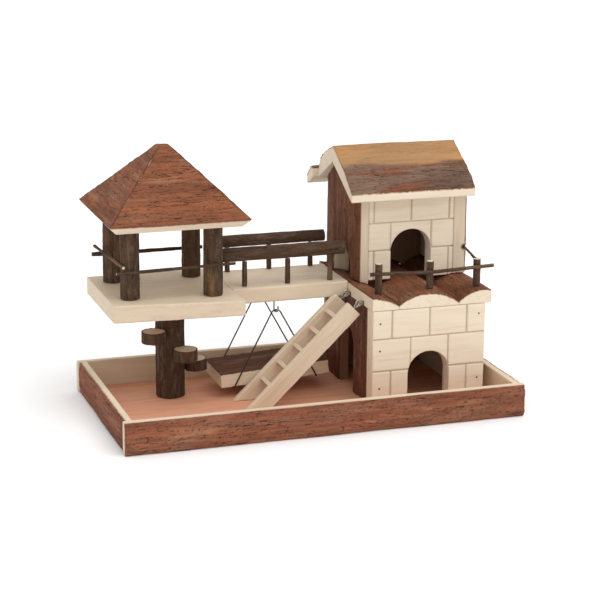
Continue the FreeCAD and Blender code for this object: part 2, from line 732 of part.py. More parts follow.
roof_back_lower = finish(profile_solid("roof_back_lower", "YZ_Plane", [
    (D.plank_join, join_under),
    (D.plank_back, back_under),
    (D.plank_back, back_under + D.plank_face),
    (D.plank_back - D.plank_round_run, back_under + D.plank_round_rise),
    (D.plank_join + D.plank_top_run, join_under + D.plank_top_rise),
    (D.plank_join - D.plank_lap, join_under + D.join_face),
], D.plank_left, D.plank_right - D.plank_left), "roof_slab_back_lower")


def under_roof(back):
    """Height of the roof's underside at a place along the depth."""
    if back.value < D.ridge_back.value:
        return D.ridge_under - (D.ridge_back - back) * D.roof_fall
    return D.ridge_under - (back - D.ridge_back) * D.roof_fall


gable_outline = [
    (D.upper_front, D.upper_base),
    (D.upper_back, D.upper_base),
    (D.upper_back, under_roof(D.upper_back)),
    (D.ridge_back, D.ridge_under),
    (D.upper_front, under_roof(D.upper_front)),
]
wall_height = D.ridge_under - D.upper_base + 2
left_plan = profile_solid("upper_left_plan", "XY_Plane", [
    (D.upper_left, D.upper_front),
    (D.upper_inner_left, D.upper_front),
    (D.upper_inner_left, D.upper_back),
    (D.upper_left, D.upper_back, D.upper_radius_left, -1),
], D.upper_base, wall_height)
left_gable = profile_solid(
    "upper_left_gable", "YZ_Plane", gable_outline, D.upper_left - D.gable_lead, D.gable_run)
bridge_door = arched_opening(
    "bridge_door", D.bridge_door_middle, D.side_door_width, D.bridge_door_top,
    D.upper_base - D.overshoot, D.upper_left - D.bridge_door_lead, D.bridge_door_run, "X")
left_wall = common("upper_left_blank", left_plan, left_gable)
finish(cut("upper_left_wall", left_wall, bridge_door, *slabs, deck_blank, *rails.values()),
       "upper_left_wall")
right_plan = profile_solid("upper_right_plan", "XY_Plane", [
    (D.upper_inner_right, D.upper_front),
    (D.upper_right, D.upper_front, D.upper_radius_right, -1),
    (D.upper_right, D.upper_back),
    (D.upper_inner_right, D.upper_back),
], D.upper_base, wall_height)
right_gable = profile_solid(
    "upper_right_gable", "YZ_Plane", gable_outline, D.upper_inner_right - D.overshoot,
    D.gable_run)
right_wall = common("upper_right_blank", right_plan, right_gable)
side_twig = straight_twig(
    "side_twig", *twig_ends["balcony_side"], D.side_twig_radius, D.side_twig_radius * 0.9)
finish(cut("upper_right_wall", right_wall, *slabs, side_twig), "upper_right_wall")

upper_face = D.upper_front + D.upper_setback
upper_door = arched_opening(
    "upper_door", D.upper_door_middle, D.door_width, D.upper_door_top,
    D.upper_wall_base - D.overshoot, upper_face - D.overshoot,
    D.wall_board + D.overshoot * 2, "Y")
upper_blank = box(
    "upper_front_blank", (D.upper_inner_left, D.upper_inner_right),
    (upper_face, upper_face + D.wall_board),
    (D.upper_wall_base, under_roof(upper_face + D.wall_board)))
finish(
    cut("upper_front_wall", upper_blank, upper_door, *slabs, roof_front), "upper_front_wall")
back_blank = box(
    "upper_back_blank", (D.upper_inner_left, D.upper_inner_right),
    (D.upper_back - D.wall_back_board, D.upper_back),
    (D.upper_base, under_roof(D.upper_back - D.wall_back_board)))
finish(
    cut("upper_back_wall", back_blank, *slabs, roof_back_upper, roof_back_lower),
    "upper_back_wall")

# Balcony railing: three posts on the slabs, a long front twig and a short side twig
front_twig = bent_rod(
    "balcony_twig", balcony_twig_points, D.balcony_rail_radius, [D.balcony_rail_bend.value])
post_spots = {
    "left": (D.balcony_post_left, D.balcony_front),
    "middle": (D.balcony_post_middle, D.balcony_front_middle),
    "right": (D.balcony_post_right, D.balcony_front_right),
}
for which, (across, back) in post_spots.items():
    blank = rod(
        "balcony_blank_" + which, (across, back, D.slab_valley), (0, 0, 1),
        D.balcony_post_top - D.slab_valley, D.balcony_post_radius)
    label = "balcony_post_" + which
    finish(cut(label, blank, *slabs, front_twig, side_twig), label)
finish(front_twig, "balcony_rail_front")
finish(side_twig, "balcony_rail_side")

doc.recompute()
for item in doc.Objects:
    if "Invalid" in item.State or "Error" in item.State:
        raise RuntimeError("%s did not build: %s" % (item.Name, item.State))
labels = [item.Label for item in finished]
if len(set(labels)) != len(labels):
    raise RuntimeError("a label is used twice")
for item in finished:
    shape = item.Shape
    if shape.isNull() or not shape.isValid():
        raise RuntimeError("%s has no sound shape" % item.Label)
    shape.exportStep("parts/%s.step" % item.Label)
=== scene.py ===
import json
import logging
import math
from dataclasses import dataclass, field
from enum import Enum
from typing import Callable, Optional, Sequence, Union

import bpy
from mathutils import Matrix, Vector, noise
from mathutils.bvhtree import BVHTree


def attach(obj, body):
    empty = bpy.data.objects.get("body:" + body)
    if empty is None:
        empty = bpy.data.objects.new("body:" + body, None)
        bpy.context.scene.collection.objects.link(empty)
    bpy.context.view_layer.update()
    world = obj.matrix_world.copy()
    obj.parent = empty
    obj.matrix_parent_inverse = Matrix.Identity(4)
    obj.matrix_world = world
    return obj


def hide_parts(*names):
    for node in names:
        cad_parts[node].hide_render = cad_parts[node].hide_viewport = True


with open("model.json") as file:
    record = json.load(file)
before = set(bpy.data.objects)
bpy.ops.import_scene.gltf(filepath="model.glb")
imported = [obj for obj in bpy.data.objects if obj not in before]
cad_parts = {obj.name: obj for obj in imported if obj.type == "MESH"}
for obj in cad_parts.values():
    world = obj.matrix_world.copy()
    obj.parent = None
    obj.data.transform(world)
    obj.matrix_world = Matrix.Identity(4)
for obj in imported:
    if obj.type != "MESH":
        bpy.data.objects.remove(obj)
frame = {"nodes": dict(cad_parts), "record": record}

MM = 0.001
LOG = logging.getLogger("hamster_house")

Colour = tuple[float, float, float]
Number = Union[float, "Shade"]
Key = Union[int, str]

# The point attribute that carries each piece's bark marks to its material
MARKS = "bark"

LADDER_LEAN = math.radians(43.9)
STEEP = 0.9


class Grain(Enum):
    """The way the fibres of a piece run."""

    ALONG = (1.0, 0.0, 0.0)
    DEEP = (0.0, 1.0, 0.0)
    UP = (0.0, 0.0, 1.0)
    LADDER = (math.cos(LADDER_LEAN), 0.0, math.sin(LADDER_LEAN))

    def axes(self) -> tuple[Vector, Vector, Vector]:
        """Gives the fibre direction and two directions across it.

        Returns:
            Three unit vectors at right angles.
        """
        along = Vector(self.value)
        upright = Vector((0.0, 0.0, 1.0))
        sideways = Vector((1.0, 0.0, 0.0))
        across = along.cross(upright if abs(along.z) < STEEP else sideways).normalized()
        return along, across, along.cross(across)


class Skin(Enum):
    """Which faces of a piece still carry bark."""

    NONE = "none"
    TOP = "top"
    FRONT = "front"
    BACK = "back"
    LEFT = "left"
    RIGHT = "right"
    ROUND = "round"

    def covers(self, normal: Vector, along: Vector) -> bool:
        """Tells whether a face carries bark.

        A top skin also takes sloping faces, and a round one every face but the sawn ends.

        Args:
            normal: The face's outward direction.
            along: The fibre direction of the piece.

        Returns:
            True where bark is left on the face.
        """
        slope_allowance = 0.35
        round_start = 1.3
        facing_enough = 0.75
        facing = {
            Skin.NONE: -1.0,
            Skin.TOP: normal.z + slope_allowance,
            Skin.FRONT: -normal.y,
            Skin.BACK: normal.y,
            Skin.LEFT: -normal.x,
            Skin.RIGHT: normal.x,
            Skin.ROUND: round_start - abs(normal.dot(along)),
        }
        return facing[self] > facing_enough


class Shade:
    """One output of a shader node, which can be used in sums."""

    def __init__(self, recipe: "Recipe", made: bpy.types.Node, output: Key) -> None:
        """Wraps an output.

        Args:
            recipe: The recipe that holds the node.
            made: The node.
            output: The output's place or name.
        """
        self.recipe = recipe
        self.made = made
        self.output = output

    @property
    def socket(self) -> bpy.types.NodeSocket:
        """The output socket itself."""
        return self.made.outputs[self.output]

    def other(self, output: Key) -> "Shade":
        """Another output of the same node."""
        return Shade(self.recipe, self.made, output)

    def _maths(self, operation: str, first: Number, second: Number = 0.0) -> "Shade":
        """Adds a maths node.

        Args:
            operation: The node's operation.
            first: The first value or socket.
            second: The second value or socket.

        Returns:
            The result.
        """
        sockets = {0: first, 1: second}
        return self.recipe.add("ShaderNodeMath", {"operation": operation}, sockets)

    def __add__(self, other: Number) -> "Shade":
        """Adds a value or socket."""
        return self._maths("ADD", self, other)

    def __radd__(self, other: Number) -> "Shade":
        """Adds this to a value."""
        return self._maths("ADD", other, self)

    def __sub__(self, other: Number) -> "Shade":
        """Takes a value or socket away."""
        return self._maths("SUBTRACT", self, other)

    def __rsub__(self, other: Number) -> "Shade":
        """Takes this away from a value."""
        return self._maths("SUBTRACT", other, self)

    def __mul__(self, other: Number) -> "Shade":
        """Multiplies by a value or socket."""
        return self._maths("MULTIPLY", self, other)

    def __rmul__(self, other: Number) -> "Shade":
        """Multiplies a value by this."""
        return self._maths("MULTIPLY", other, self)

    def line(self, middle: float, width: float) -> "Shade":
        """Draws a thin line where the value passes a level.

        Args:
            middle: The level.
            width: Half the line's width, in the value's own units.

        Returns:
            1 on the line, falling to 0 beside it.
        """
        return 1.0 - self._maths("ABSOLUTE", self - middle).ramp(0.0, width)

    def ramp(self, low: float, high: float) -> "Shade":
        """Maps low..high smoothly onto 0..1.

        Args:
            low: The value that gives 0.
            high: The value that gives 1.

        Returns:
            The mapped value.
        """
        settings = {"interpolation_type": "SMOOTHSTEP"}
        sockets = {"Value": self, "From Min": low, "From Max": high}
        return self.recipe.add("ShaderNodeMapRange", settings, sockets)


class Recipe:
    """The nodes that make one finish."""

    def __init__(self, name: str) -> None:
        """Starts an empty material.

        Args:
            name: The material's name.
        """
        self.material = bpy.data.materials.new(name)
        self.material.use_nodes = True
        self.tree = self.material.node_tree
        self.tree.nodes.clear()

    def add(
        self, kind: str, settings: dict[str, object], sockets: dict[Key, object], output: Key = 0
    ) -> Shade:
        """Adds a shader node.

        Args:
            kind: The node's type.
            settings: Its properties, set first.
            sockets: Input values or sockets to link, by place or name.
            output: The output to hand back.

        Returns:
            The chosen output.
        """
        made = self.tree.nodes.new(kind)
        for key, setting in settings.items():
            setattr(made, key, setting)
        for key, entry in sockets.items():
            if isinstance(entry, Shade):
                self.tree.links.new(entry.socket, made.inputs[key])
            else:
                made.inputs[key].default_value = entry
        return Shade(self, made, output)

    def mix(
        self, factor: Shade, first: Union[Shade, Colour], second: Union[Shade, Colour]
    ) -> Shade:
        """Mixes two colours.

        Args:
            factor: How much of the second to take.
            first: A colour or socket.
            second: A colour or socket.

        Returns:
            The mixed colour.
        """
        first_place, second_place, colour_output = 6, 7, 2
        sockets: dict[Key, object] = {0: factor}
        for place, entry in ((first_place, first), (second_place, second)):
            sockets[place] = entry if isinstance(entry, Shade) else (*entry, 1.0)
        return self.add("ShaderNodeMix", {"data_type": "RGBA"}, sockets, colour_output)

    def bump(self, height: Shade, strength: float, distance: float) -> Shade:
        """Turns a height into a bumpy normal.

        Args:
            height: The height.
            strength: How strongly it shows.
            distance: The bumps' height in millimetres.

        Returns:
            The normal.
        """
        sockets = {"Height": height, "Strength": strength, "Distance": distance * MM}
        return self.add("ShaderNodeBump", {}, sockets)

    def surface(self, inputs: dict[Key, object]) -> bpy.types.Material:
        """Feeds the surface shader and ends the recipe.

        Args:
            inputs: Values or sockets by input name.

        Returns:
            The finished material.
        """
        shader = self.add("ShaderNodeBsdfPrincipled", {}, inputs)
        self.add("ShaderNodeOutputMaterial", {}, {"Surface": shader})
        return self.material


@dataclass(frozen=True)
class Fibres:
    """Noise drawn out along the fibres, and the levels between which its marks show."""

    stretch: float
    scale: float
    detail: float
    low: float = 0.0
    high: float = 1.0
    roughness: float = 0.6

    def draw(self, recipe: Recipe, grain: Grain) -> Shade:
        """Adds the noise.

        Args:
            recipe: The finish's nodes.
            grain: The fibre direction.

        Returns:
            A value around 0.5.
        """
        place = recipe.add("ShaderNodeTexCoord", {}, {}, "Object")
        parts = []
        for direction, size in zip(grain.axes(), (1.0 / self.stretch, 1.0, 1.0)):
            settings = {"operation": "DOT_PRODUCT"}
            sockets = {0: place, 1: tuple(direction * size)}
            parts.append(recipe.add("ShaderNodeVectorMath", settings, sockets, "Value"))
        spot = recipe.add("ShaderNodeCombineXYZ", {}, dict(enumerate(parts)))
        return recipe.add("ShaderNodeTexNoise", {}, {
            "Vector": spot, "Scale": self.scale, "Detail": self.detail, "Roughness": self.roughness})

    def marks(self, drawn: Shade) -> Shade:
        """The noise's marks alone, from 0 to 1."""
        return drawn.ramp(self.low, self.high)

    def draw_marks(self, recipe: Recipe, grain: Grain) -> Shade:
        """Adds the noise and keeps its marks alone."""
        return self.marks(self.draw(recipe, grain))


# Marks of sawn wood: year rings, fine fibres and broad clouds
RINGS = Fibres(14.0, 190.0, 3.0, 0.42, 0.78)
FINE_FIBRES = Fibres(30.0, 1500.0, 4.0, 0.35, 0.8)
CLOUDS = Fibres(3.0, 28.0, 2.0, 0.4, 0.8)

# Marks of bark: chips, specks, weathered streaks, splits, golden patches and dark patches of painted
# shade; the chips, specks and splits also place painted shade in the bark's pits and splits
CHIPS = Fibres(11.0, 330.0, 7.0, 0.25, 0.75)
SPECKS = Fibres(6.0, 1500.0, 3.0, 0.3, 0.75)
STREAKS = Fibres(9.0, 70.0, 4.0)
FURROWS = Fibres(13.0, 120.0, 5.0)
GOLDEN = Fibres(6.0, 55.0, 3.0, 0.56, 0.7)
SHADE_PATCHES = Fibres(5.0, 38.0, 5.0, 0.42, 0.66)

# Marks of the stained floor and of worn steel
FLOOR_STREAKS = Fibres(12.0, 160.0, 4.0, 0.35, 0.7)
FLOOR_FIBRES = Fibres(25.0, 1400.0, 3.0, 0.3, 0.8)
WEAR = Fibres(2.0, 900.0, 3.0, 0.4, 0.75)

# How glossy dry wood is
WOOD_GLOSS = 0.3


@dataclass(frozen=True)
class BarkMarks:
    """What a carved piece tells its material at each point, from 0 to 1."""

    mask: Shade
    layer: Shade
    crack: Shade
    bare: Shade

    @classmethod
    def read(cls, recipe: Recipe) -> "BarkMarks":
        """Adds the nodes that read the marks.

        Args:
            recipe: The finish's nodes.

        Returns:
            The marks.
        """
        marks = recipe.add("ShaderNodeAttribute", {"attribute_name": MARKS}, {}, "Color")
        parts = recipe.add("ShaderNodeSeparateColor", {}, {0: marks})
        return cls(parts.other(0), parts.other(1), parts.other(2), marks.other("Alpha"))


@dataclass(frozen=True)
class BarkNoise:
    """The noises that several of the bark's marks share."""

    chips: Shade
    specks: Shade
    splits: Shade

    @classmethod
    def draw(cls, recipe: Recipe, grain: Grain) -> "BarkNoise":
        """Adds the noises.

        Args:
            recipe: The finish's nodes.
            grain: The fibre direction.

        Returns:
            The noises.
        """
        split_middle, split_width = 0.5, 0.018
        break_low, break_high = 0.35, 0.55
        chips = CHIPS.draw(recipe, grain)
        splits = FURROWS.draw(recipe, grain).line(split_middle, split_width)
        return cls(chips, SPECKS.draw(recipe, grain), splits * chips.ramp(break_low, break_high))


@dataclass(frozen=True)
class Wood:
    """Pale wood that may still carry bark."""

    name: str
    grain: Grain
    light: Colour = (0.71, 0.59, 0.44)
    dark: Colour = (0.57, 0.42, 0.28)
    inner: Colour = (0.34, 0.108, 0.052)
    outer: Colour = (0.33, 0.235, 0.165)
    bare: Colour = (0.62, 0.32, 0.155)
    # Near-black painted shade, laid in the bark's splits, pits and plate edges and in patches
    crevice_shade: Colour = (0.03, 0.013, 0.007)
    scorch: Colour = (0.36, 0.22, 0.12)
    grey: float = 0.2
    weathering: tuple[float, float, float, float] = (0.45, 0.9, 0.40, 0.62)
    ring_share: float = 0.55
    fibre_share: float = 0.22
    cloud_share: float = 0.18
    scorch_share: float = 0.5
    golden_share: float = 0.35
    grey_gain: float = 1.6
    # How strongly painted shade darkens the bark's patches, pits (set by the chips and specks),
    # cracks and splits
    patch_shade_share: float = 0.42
    pit_shade_share: float = 0.55
    chip_share: float = 0.72
    speck_share: float = 0.28
    crack_shade_share: float = 0.7
    split_shade_share: float = 0.75
    crevice_shade_share: float = 0.95
    bare_calm: float = 0.6
    wood_roughness: float = 0.62
    bark_roughness: float = 0.26
    chip_height: float = 0.9
    speck_height: float = 0.25
    split_depth: float = 0.6
    fibre_height: float = 0.14
    bump_strength: float = 0.75
    bump_distance: float = 0.9

    def build(self) -> bpy.types.Material:
        """Makes the material.

        Returns:
            A material that reads the piece's bark marks.
        """
        recipe = Recipe(self.name)
        marks = BarkMarks.read(recipe)
        fibres = FINE_FIBRES.draw(recipe, self.grain)
        rough = BarkNoise.draw(recipe, self.grain)
        worn = 1.0 - marks.bare * self.bare_calm
        ridges = rough.chips * self.chip_height + rough.specks * self.speck_height
        furrowed = (ridges - rough.splits * self.split_depth) * worn
        height = marks.mask * furrowed + (1.0 - marks.mask) * (fibres * self.fibre_height)
        pale = self.pale_colour(recipe, marks, fibres)
        return recipe.surface({
            "Base Color": recipe.mix(marks.mask, pale, self.bark_colour(recipe, marks, rough, worn)),
            "Roughness": self.wood_roughness + marks.mask * self.bark_roughness,
            "Normal": recipe.bump(height, self.bump_strength, self.bump_distance),
            "Specular IOR Level": WOOD_GLOSS,
        })

    def pale_colour(self, recipe: Recipe, marks: BarkMarks, fibres: Shade) -> Shade:
        """Mixes the sawn wood's colour, browned in the saw cuts.

        Args:
            recipe: The finish's nodes.
            marks: The piece's marks.
            fibres: The fine fibres' noise.

        Returns:
            The colour.
        """
        rings = RINGS.draw_marks(recipe, self.grain) * self.ring_share
        clouds = CLOUDS.draw_marks(recipe, self.grain) * self.cloud_share
        ringed = rings + FINE_FIBRES.marks(fibres) * self.fibre_share
        clean = recipe.mix(ringed + clouds, self.light, self.dark)
        return recipe.mix(marks.crack * self.scorch_share, clean, self.scorch)

    def bark_colour(
        self, recipe: Recipe, marks: BarkMarks, rough: BarkNoise, worn: Shade
    ) -> Shade:
        """Mixes the bark's colour, with painted shade in its splits, pits, plate edges and in
        patches.

        Args:
            recipe: The finish's nodes.
            marks: The piece's marks.
            rough: The bark's noises.
            worn: Less than 1 where the outer bark is missing.

        Returns:
            The colour.
        """
        low_plate, high_plate, low_streak, high_streak = self.weathering
        streaks = STREAKS.draw(recipe, self.grain).ramp(low_streak, high_streak)
        weather = marks.layer.ramp(low_plate, high_plate) * streaks
        golden = GOLDEN.draw_marks(recipe, self.grain) * self.golden_share
        red = recipe.mix(golden, self.inner, self.bare)
        fresh = recipe.mix(marks.bare.ramp(0.0, 1.0), red, self.bare)
        greyed = recipe.mix(weather * worn * (self.grey * self.grey_gain), fresh, self.outer)
        # Patches of painted shade
        shade_patches = SHADE_PATCHES.draw_marks(recipe, self.grain)
        patch_shaded = recipe.mix(shade_patches * worn * self.patch_shade_share, greyed, self.crevice_shade)
        chips = CHIPS.marks(rough.chips) * self.chip_share
        tone = chips + SPECKS.marks(rough.specks) * self.speck_share
        # Painted shade in the pits, where the chips and specks leave the surface low
        pit_shaded = recipe.mix((1.0 - tone) * worn * self.pit_shade_share, patch_shaded, self.crevice_shade)
        # Painted shade along the plate edges and the splits
        shaded_cracks = (marks.crack * self.crack_shade_share + rough.splits * self.split_shade_share) * worn
        return recipe.mix(shaded_cracks.ramp(0.0, 1.0) * self.crevice_shade_share, pit_shaded, self.crevice_shade)


@dataclass(frozen=True)
class Plywood:
    """Red-stained sheet for the tray's floor."""

    name: str = "stained_floor"
    light: Colour = (0.72, 0.36, 0.225)
    dark: Colour = (0.60, 0.275, 0.165)
    streak_share: float = 0.7
    fibre_share: float = 0.3
    roughness: float = 0.6
    streak_roughness: float = 0.15
    bump_strength: float = 0.3
    bump_distance: float = 0.2

    def build(self) -> bpy.types.Material:
        """Makes the material.

        Returns:
            The stained floor.
        """
        recipe = Recipe(self.name)
        streaks = FLOOR_STREAKS.draw(recipe, Grain.ALONG)
        fibres = FLOOR_FIBRES.draw(recipe, Grain.ALONG)
        streaked = FLOOR_STREAKS.marks(streaks) * self.streak_share
        blend = streaked + FLOOR_FIBRES.marks(fibres) * self.fibre_share
        return recipe.surface({
            "Base Color": recipe.mix(blend, self.light, self.dark),
            "Roughness": self.roughness + streaks * self.streak_roughness,
            "Normal": recipe.bump(fibres, self.bump_strength, self.bump_distance),
            "Specular IOR Level": WOOD_GLOSS,
        })


@dataclass(frozen=True)
class Steel:
    """Plain drawn steel for wires, hooks, eyes and nails."""

    name: str
    tone: Colour
    roughness: float
    dulling: float = 0.55
    wear_roughness: float = 0.2
    bump_strength: float = 0.25
    bump_distance: float = 0.1

    def build(self) -> bpy.types.Material:
        """Makes the material.

        Returns:
            The metal.
        """
        recipe = Recipe(self.name)
        wear = WEAR.draw(recipe, Grain.UP)
        dull = tuple(part * self.dulling for part in self.tone)
        return recipe.surface({
            "Base Color": recipe.mix(WEAR.marks(wear), self.tone, dull),
            "Roughness": self.roughness + wear * self.wear_roughness,
            "Metallic": 1.0,
            "Normal": recipe.bump(wear, self.bump_strength, self.bump_distance),
        })


Finish = Union[Wood, Plywood, Steel]

WALL_LOOK = {"light": (0.80, 0.685, 0.535), "dark": (0.68, 0.53, 0.37)}
BRANCH_LOOK = {
    "inner": (0.115, 0.058, 0.031),
    "outer": (0.165, 0.132, 0.092),
    # Near-black painted shade in the branches' bark hollows
    "crevice_shade": (0.02, 0.011, 0.006),
    "grey": 0.62,
}
WALL_ALONG = Wood("wall_along", Grain.ALONG, **WALL_LOOK)
BOARD_ALONG = Wood("board_along", Grain.ALONG)
BOARD_DEEP = Wood("board_deep", Grain.DEEP)
BOARD_LADDER = Wood("board_ladder", Grain.LADDER)
WALL_UP = Wood(
    "wall_upright", Grain.UP, light=(0.68, 0.56, 0.42), dark=(0.56, 0.43, 0.29),
    inner=(0.24, 0.08, 0.032), grey=0.3)
# A darker copy of the upright wall wood: its sawn faces are painted dark brown as painted shade
# inside the rooms, on the back walls' inner faces and in the lower side doorway's jamb.
WALL_PAINTED_SHADE = Wood(
    "wall_shaded", Grain.UP, light=(0.25, 0.13, 0.07), dark=(0.14, 0.065, 0.034),
    inner=(0.22, 0.068, 0.032), grey=0.65)
SWING_ALONG = Wood("swing_along", Grain.ALONG, inner=(0.15, 0.048, 0.017), grey=0.05)
BALCONY_DEEP = Wood("balcony_deep", Grain.DEEP, inner=(0.29, 0.10, 0.04), grey=0.25, **WALL_LOOK)
BRANCH_UP = Wood("branch_upright", Grain.UP, **BRANCH_LOOK)
BRANCH_ALONG = Wood("branch_along", Grain.ALONG, **BRANCH_LOOK)
BRANCH_DEEP = Wood("branch_deep", Grain.DEEP, **BRANCH_LOOK)
ROOF_ALONG = Wood("roof_along", Grain.ALONG, grey=0.22, inner=(0.36, 0.118, 0.05), **WALL_LOOK)
ROOF_DEEP = Wood("roof_deep", Grain.DEEP, grey=0.15, inner=(0.32, 0.108, 0.045), **WALL_LOOK)
HOUSE_ROOF = Wood(
    "house_roof", Grain.ALONG, grey=0.42, inner=(0.28, 0.09, 0.042), bare=(0.52, 0.27, 0.105),
    outer=(0.25, 0.185, 0.135), weathering=(0.15, 0.55, 0.30, 0.46), **WALL_LOOK)
FLOOR = Plywood()
WIRE = Steel("swing_wire", (0.075, 0.07, 0.066), 0.45)
BRIGHT = Steel("bright_steel", (0.52, 0.50, 0.47), 0.35)
NAIL = Steel("nail_head", (0.20, 0.18, 0.16), 0.55)
MATERIALS: dict[str, bpy.types.Material] = {}


def material_of(finish: Finish) -> bpy.types.Material:
    """Gives a finish's material, made once.

    Args:
        finish: The finish.

    Returns:
        Its material.
    """
    if finish.name not in MATERIALS:
        MATERIALS[finish.name] = finish.build()
    return MATERIALS[finish.name]


def smooth(low: float, high: float, value: float) -> float:
    """Maps low..high smoothly onto 0..1.

    Args:
        low: The value that gives 0.
        high: The value that gives 1.
        value: The value to map.

    Returns:
        A number from 0 to 1.
    """
    share = min(max((value - low) / (high - low), 0.0), 1.0)
    return share * share * (3.0 - 2.0 * share)


@dataclass(frozen=True)
class Relief:
    """How deep and how large a surface's plates and furrows are, in millimetres."""

    depth: float = 1.6
    plate_long: float = 70.0
    plate_wide: float = 9.0
    levels: float = 3.1
    swell: float = 0.0
    swell_long: float = 45.0
    skin: float = 2.2
    skin_blend: float = 0.4
    ragged_fineness: float = 0.35
    ragged: float = 0.5
    plate_fade: float = 0.75
    plate_finer: float = 2.1
    plate_octaves: int = 4
    lowest_step: float = -3.0
    step_span: float = 6.0
    step_rise: float = 0.22
    edge_middle: float = 0.04
    edge_width: float = 0.16

    def mask(self, spot: Vector, distance: float, seed: float) -> float:
        """Tells how much of a place is bark, with a ragged border.

        Args:
            spot: The place in millimetres.
            distance: How far the nearest bark-carrying face is.
            seed: Moves the pattern.

        Returns:
            1 in bark and 0 in bare wood.
        """
        shifted = spot * self.ragged_fineness + Vector((seed, 0.0, 0.0))
        wander = noise.noise(shifted) * self.ragged
        return 1.0 - smooth(
            self.skin - self.skin_blend, self.skin + self.skin_blend, distance + wander)

    def layer(self, spot: Vector, axes: Sequence[Vector], seed: float) -> tuple[float, float]:
        """Height of the bark's plates at a place.

        Args:
            spot: The place in millimetres.
            axes: The fibre direction and two across it.
            seed: Moves the pattern.

        Returns:
            The level from 0 to 1, and how close a plate's edge is, from 0 to 1.
        """
        place = Vector((
            spot.dot(axes[0]) / self.plate_long + seed,
            spot.dot(axes[1]) / self.plate_wide,
            spot.dot(axes[2]) / self.plate_wide,
        ))
        rough = noise.fractal(place, self.plate_fade, self.plate_finer, self.plate_octaves)
        raw = rough * self.levels
        step = math.floor(raw)
        part = raw - step
        level = (step + smooth(0.0, self.step_rise, part) - self.lowest_step) / self.step_span
        edge = 1.0 - smooth(0.0, self.edge_width, abs(part - self.edge_middle))
        return min(max(level, 0.0), 1.0), edge

    def swelling(self, spot: Vector, seed: float) -> float:
        """Gives the gentle unevenness of a branch or a sawn board.

        Args:
            spot: The place in millimetres.
            seed: Moves the pattern.

        Returns:
            How far the surface sinks.
        """
        shifted = spot / self.swell_long + Vector((0.0, seed, 0.0))
        return self.swell * (0.5 + 0.5 * noise.noise(shifted))


FLAKY = Relief()
ROOF_BARK = Relief(depth=1.8, plate_long=85.0, plate_wide=12.0, levels=3.4)
SMOOTH_BARK = Relief(depth=0.7, plate_long=14.0, plate_wide=4.0, swell=1.0)
RAIL_BARK = Relief(depth=0.5, plate_long=16.0, plate_wide=4.0, swell=1.2, swell_long=40.0, skin=1.2)
TWIG_BARK = Relief(depth=0.3, plate_long=6.0, plate_wide=2.0, swell=0.7, swell_long=11.0, skin=0.7)
SWING_BARK = Relief(depth=0.8, plate_long=60.0, plate_wide=7.0, skin=1.1)
SAWN = Relief(depth=0.0, swell=0.18, swell_long=30.0)


@dataclass
class Cut:
    """How one CAD node is turned into a carved piece of wood."""

    node_name: str
    finish: Wood
    skin: Skin = Skin.NONE
    relief: Relief = SAWN
    voxel: float = 1.2
    groove: Optional[Callable[[Vector], float]] = None
    bare: Optional[Callable[[Vector], float]] = None
    far_away: float = 99.0
    patterns: int = 97
    seed: float = field(init=False)

    def __post_init__(self) -> None:
        """Gives each piece its own pattern."""
        letters = enumerate(self.node_name, start=1)
        self.seed = sum(ord(letter) * place for place, letter in letters) % self.patterns

    def skin_tree(self, mesh: bpy.types.Mesh, along: Vector) -> Optional[BVHTree]:
        """Collects the faces that carry bark.

        Args:
            mesh: The CAD node's mesh.
            along: The fibre direction.

        Returns:
            A search tree over those faces, or None.
        """
        faces = [
            tuple(face.vertices) for face in mesh.polygons
            if self.skin.covers(face.normal, along)
        ]
        if not faces:
            return None
        return BVHTree.FromPolygons([spot.co.copy() for spot in mesh.vertices], faces)

    def build(self) -> bpy.types.Object:
        """Makes the carved piece in place of its CAD node.

        Returns:
            The new object.
        """
        source = frame["nodes"][self.node_name]
        axes = self.finish.grain.axes()
        tree = self.skin_tree(source.data, axes[0])
        mesh = self.fine_mesh(source.data)
        self.shape(mesh, tree, axes)
        for face in mesh.polygons:
            face.use_smooth = True
        piece = bpy.data.objects.new(self.node_name + ".wood", mesh)
        bpy.context.scene.collection.objects.link(piece)
        mesh.materials.clear()
        mesh.materials.append(material_of(self.finish))
        return piece

    def fine_mesh(self, mesh: bpy.types.Mesh) -> bpy.types.Mesh:
        """Covers a CAD mesh's shape with small even faces.

        Args:
            mesh: The CAD node's mesh.

        Returns:
            A new, fine mesh.
        """
        rough = bpy.data.objects.new("rough", mesh.copy())
        bpy.context.scene.collection.objects.link(rough)
        remesh = rough.modifiers.new("remesh", "REMESH")
        remesh.mode = "VOXEL"
        remesh.voxel_size = self.voxel * MM
        graph = bpy.context.evaluated_depsgraph_get()
        fine = bpy.data.meshes.new_from_object(rough.evaluated_get(graph))
        bpy.data.objects.remove(rough)
        return fine

    def shape(self, mesh: bpy.types.Mesh, tree: Optional[BVHTree], axes: Sequence[Vector]) -> None:
        """Presses plates, furrows and grooves into the surface and marks the bark.

        Args:
            mesh: The fine mesh.
            tree: The search tree over the bark-carrying faces.
            axes: The fibre direction and two across it.
        """
        marks = mesh.color_attributes.new(MARKS, "FLOAT_COLOR", "POINT")
        relief = self.relief
        normals = [vertex.normal.copy() for vertex in mesh.vertices]
        for vertex, normal in zip(mesh.vertices, normals):
            spot = vertex.co / MM
            distance = self.far_away
            if tree is not None:
                nearest = tree.find_nearest(vertex.co)
                distance = nearest[3] / MM
            mask = relief.mask(spot, distance, self.seed)
            level, edge = relief.layer(spot, axes, self.seed) if mask > 0.0 else (0.0, 0.0)
            groove = self.groove(spot) if self.groove is not None else 0.0
            bare = self.bare(spot) if self.bare is not None else 0.0
            sink = mask * relief.depth * (1.0 - level) + relief.swelling(spot, self.seed)
            vertex.co = vertex.co - normal * ((sink + groove) * MM)
            crack = edge * mask + min(groove, 1.0)
            marks.data[vertex.index].color = (mask, level, crack, bare)


